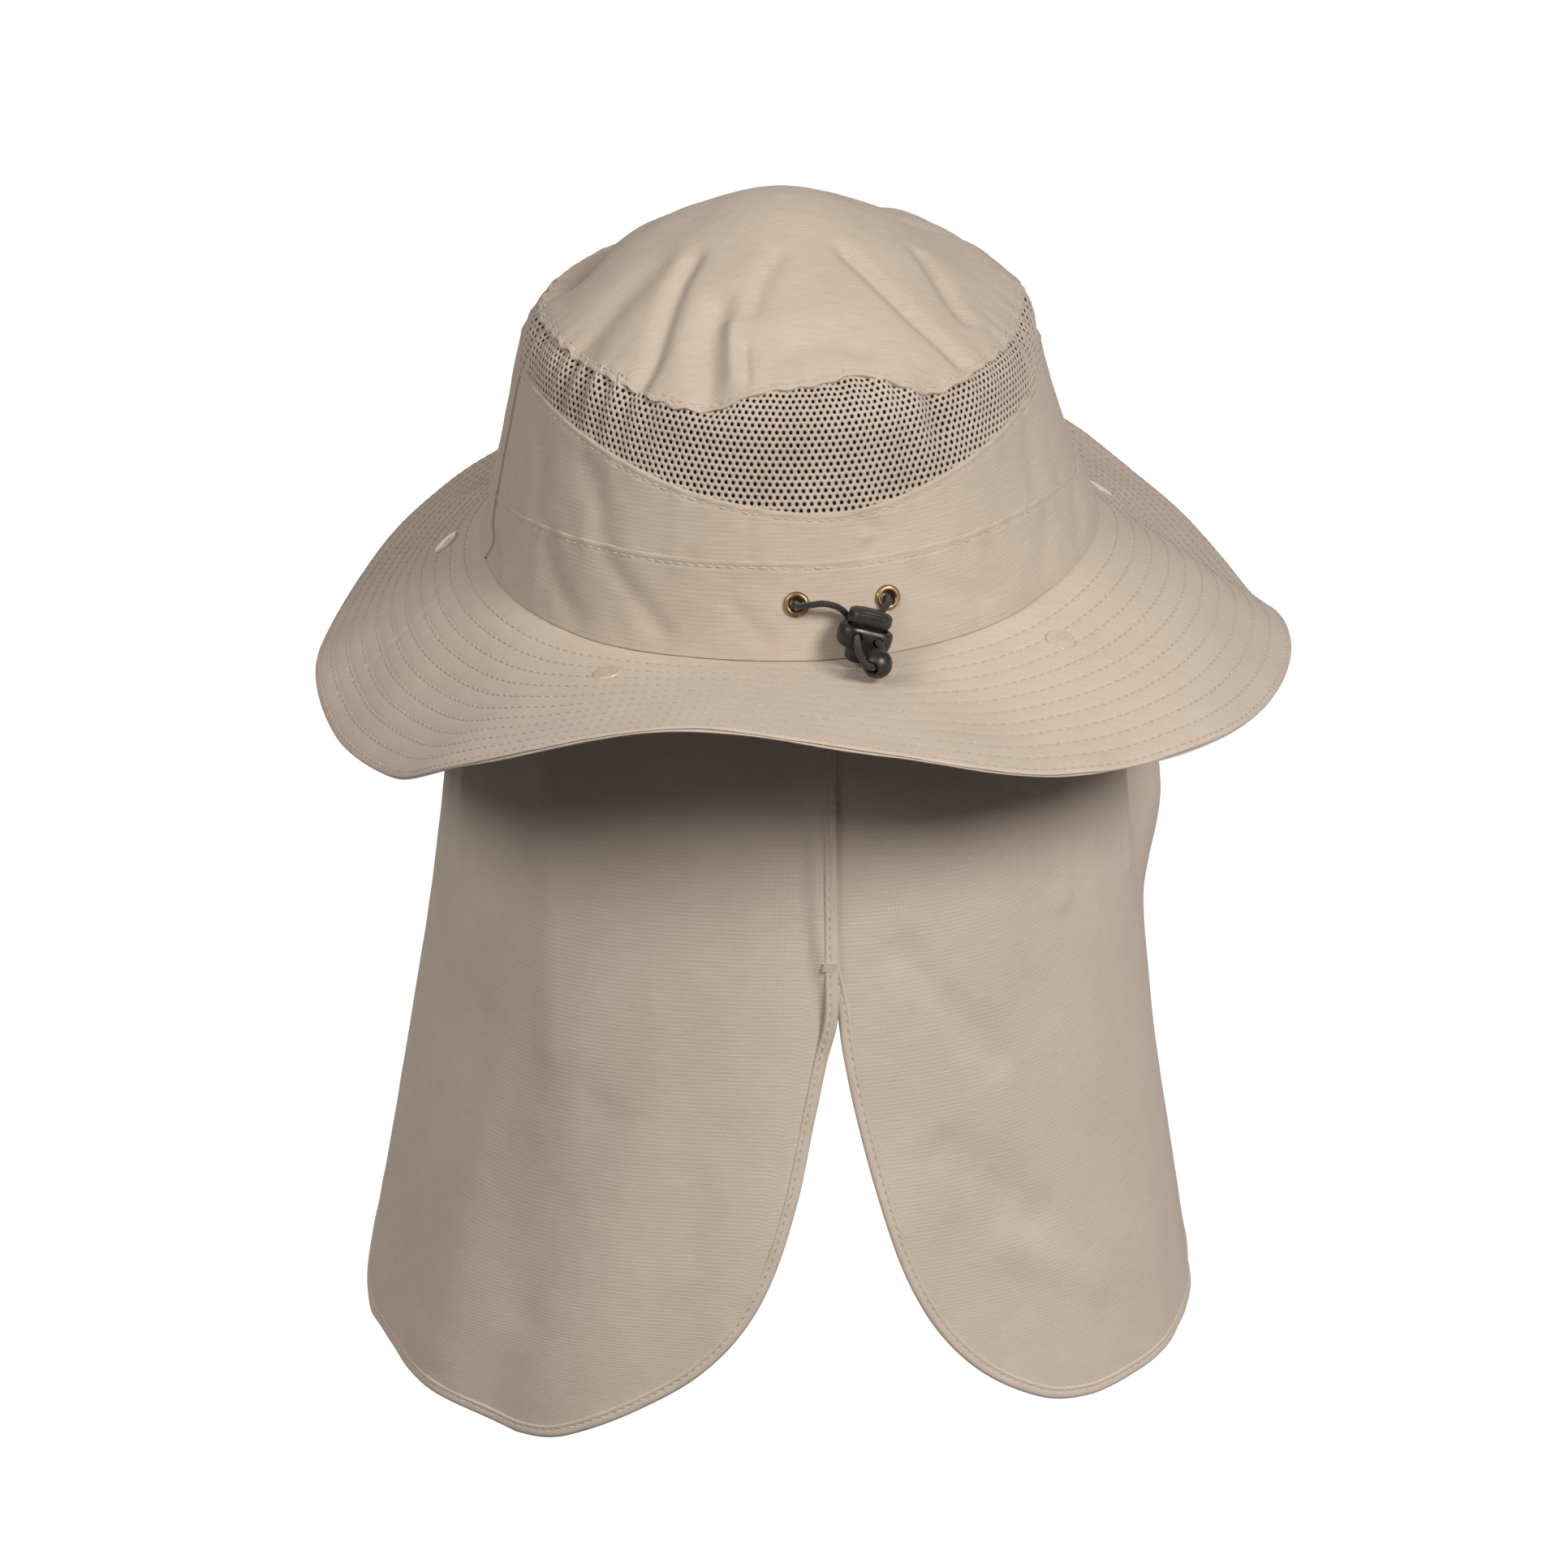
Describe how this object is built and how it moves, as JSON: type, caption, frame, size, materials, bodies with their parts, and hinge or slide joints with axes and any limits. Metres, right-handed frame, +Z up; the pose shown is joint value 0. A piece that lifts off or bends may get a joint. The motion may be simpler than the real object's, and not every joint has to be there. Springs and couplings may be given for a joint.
{
  "type": "fishing hat with a neck cape",
  "caption": "Soft bucket hat with a wide all-round brim, a mesh window at the back, a draw cord with a cord lock, and a split neck cape that snaps under the brim.",
  "frame": {"origin": "middle of the head opening, in the plane where the crown meets the brim", "axes": "+Z up through the crown, +Y to the front of the hat, +X to the wearer's right as seen from behind"},
  "size_m": [0.3141, 0.3399, 0.365],
  "materials": {
    "khaki_cloth": "plain-woven nylon, matte",
    "mesh_cloth": "open warp-knit mesh",
    "brim_cloth": "plain-woven nylon, stitched in rows",
    "cape_cloth": "light woven nylon, matte",
    "antique_brass": "rolled, antiqued",
    "black_plastic": "moulded, satin",
    "black_elastic": "braided elastic",
    "snap_plastic": "moulded, glossy"
  },
  "bodies": {
    "root": {"crown_top": "khaki_cloth", "mesh_insert": "mesh_cloth", "crown_back_panel": "khaki_cloth", "crown_front_panel": "khaki_cloth", "lower_band_back": "khaki_cloth", "lower_band_front": "khaki_cloth", "brim": "brim_cloth", "cape_left": "cape_cloth", "cape_right": "cape_cloth", "snap_1": "snap_plastic", "snap_2": "snap_plastic", "snap_3": "snap_plastic", "snap_4": "snap_plastic", "eyelet_left": "antique_brass", "eyelet_right": "antique_brass", "draw_cord": "black_elastic", "cord_lock": "black_plastic", "cord_ball": "black_plastic"}
  },
  "joints": []
}
